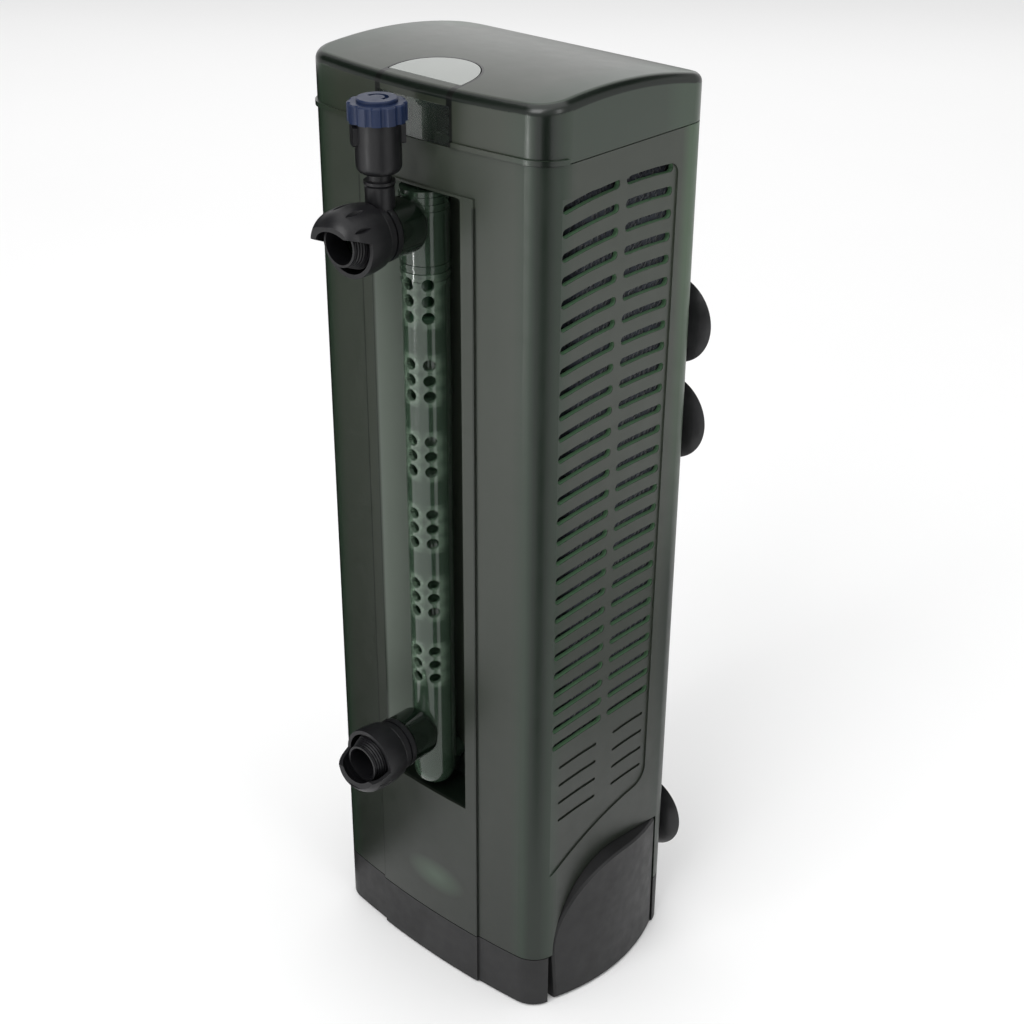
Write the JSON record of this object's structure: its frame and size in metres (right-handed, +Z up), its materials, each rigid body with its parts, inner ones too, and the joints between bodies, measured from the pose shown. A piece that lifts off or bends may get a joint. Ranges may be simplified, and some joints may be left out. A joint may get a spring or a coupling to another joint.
{
  "type": "internal aquarium filter",
  "caption": "Upright submersible aquarium filter: smoked casing with slotted sides, pump in the base, foam and media inside, diffuser tube and swivelling outlets in front.",
  "frame": {"origin": "centre of the base's underside, on the casing's plane of symmetry", "axes": "+Z up along the casing, -Y out of the front where the outlets are, +X to the casing's left-hand side as seen from behind"},
  "size_m": [0.1094, 0.1169, 0.3245],
  "materials": {
    "smoked_shell": "smoked translucent green, glossy",
    "dark_base": "fine satin moulding",
    "green_tube": "translucent green, glossy",
    "smoked_port": "dark smoked green, glossy",
    "black_fitting": "satin black moulding",
    "blue_knob": "satin blue moulding",
    "clear_window": "clear grey, polished",
    "green_lever": "dark green moulding",
    "dark_inner": "dark satin moulding",
    "media_rack": "dark green-grey moulding",
    "filter_foam": "open-cell blue-black foam",
    "carbon_case": "black case with charcoal grain",
    "ceramic": "unglazed ceramic",
    "magnet": "bonded ferrite",
    "impeller_plastic": "off-white moulding",
    "laminated_steel": "stacked laminations",
    "copper_winding": "enamelled copper winding",
    "steel_pin": "drawn stainless wire",
    "seal_rubber": "matt rubber",
    "cup_rubber": "smooth black rubber"
  },
  "bodies": {
    "casing": {"air_valve_body": "black_fitting", "base_cover": "dark_base", "bio_tray": "media_rack", "bottom_collar": "black_fitting", "bottom_port": "smoked_port", "bottom_port_seal": "seal_rubber", "cable_gland": "seal_rubber", "carbon_cartridge_left": "carbon_case", "carbon_cartridge_right": "carbon_case", "casing_shell": "smoked_shell", "ceramic_rings": "ceramic", "deck_seal": "seal_rubber", "diffuser_tube": "green_tube", "foam_pad_left": "filter_foam", "foam_pad_right": "filter_foam", "impeller_cover": "dark_inner", "impeller_shaft": "ceramic", "lid_hinge_pins": "steel_pin", "lower_bush": "seal_rubber", "media_frame": "media_rack", "motor_end_plate": "dark_inner", "motor_housing": "dark_inner", "pump_deck": "dark_inner", "stator_coil": "copper_winding", "stator_core": "laminated_steel", "top_collar": "black_fitting", "top_port": "smoked_port", "top_port_seal": "seal_rubber", "tray_handle": "media_rack"},
    "lid": {"lid": "smoked_shell", "lid_window": "clear_window", "lid_latch": "dark_inner"},
    "lid_button": {"lid_button": "clear_window"},
    "selector": {"selector_lever": "green_lever", "selector_rod": "green_lever", "shuttle_valve": "green_lever"},
    "top_nozzle": {"top_nozzle_hood": "black_fitting", "top_nozzle_spout": "black_fitting"},
    "bottom_nozzle": {"bottom_nozzle_hood": "black_fitting", "bottom_nozzle_spout": "black_fitting"},
    "air_knob": {"air_knob": "blue_knob", "air_needle": "black_fitting"},
    "impeller": {"impeller_magnet": "magnet", "impeller_wheel": "impeller_plastic"},
    "bracket": {"bracket_plate": "dark_base", "suction_cup_1_left": "cup_rubber", "suction_cup_1_right": "cup_rubber", "suction_cup_2_left": "cup_rubber", "suction_cup_2_right": "cup_rubber", "suction_cup_3_left": "cup_rubber", "suction_cup_3_right": "cup_rubber"},
    "grip_left": {"grip_left": "dark_base"},
    "grip_right": {"grip_right": "dark_base"}
  },
  "joints": [
    {"name": "lid_hinge", "type": "hinge", "parent": "casing", "child": "lid", "pos_m": [0, 0.0396, 0.306], "axis": [-1, 0, 0], "range_deg": [0, 100]},
    {"name": "lid_button_press", "type": "slide", "parent": "lid", "child": "lid_button", "axis": [0, 0, -1], "range_m": [0, 0.001], "stiffness_N_per_m": 400},
    {"name": "flow_selector_slide", "type": "slide", "parent": "casing", "child": "selector", "axis": [0, 0, -1], "range_m": [0, 0.008]},
    {"name": "top_nozzle_swivel", "type": "hinge", "parent": "casing", "child": "top_nozzle", "pos_m": [0, -0.0573, 0.2813], "axis": [0, -1, 0], "continuous": true},
    {"name": "bottom_nozzle_swivel", "type": "hinge", "parent": "casing", "child": "bottom_nozzle", "pos_m": [0, -0.0573, 0.1017], "axis": [0, -1, 0], "continuous": true},
    {"name": "air_knob_turn", "type": "hinge", "parent": "casing", "child": "air_knob", "pos_m": [0, -0.0524, 0.314], "axis": [0, 0, 1], "range_deg": [0, 270]},
    {"name": "impeller_spin", "type": "hinge", "parent": "casing", "child": "impeller", "pos_m": [0, 0.004, 0.08], "axis": [0, 0, 1], "continuous": true},
    {"name": "bracket_slide", "type": "slide", "parent": "casing", "child": "bracket", "axis": [0, 0, -1], "range_m": [0, 0.01]},
    {"name": "grip_left_press", "type": "slide", "parent": "casing", "child": "grip_left", "axis": [1, 0, 0], "range_m": [0, 0.0012], "stiffness_N_per_m": 1500},
    {"name": "grip_right_press", "type": "slide", "parent": "casing", "child": "grip_right", "axis": [-1, 0, 0], "range_m": [0, 0.0012], "stiffness_N_per_m": 1500}
  ]
}
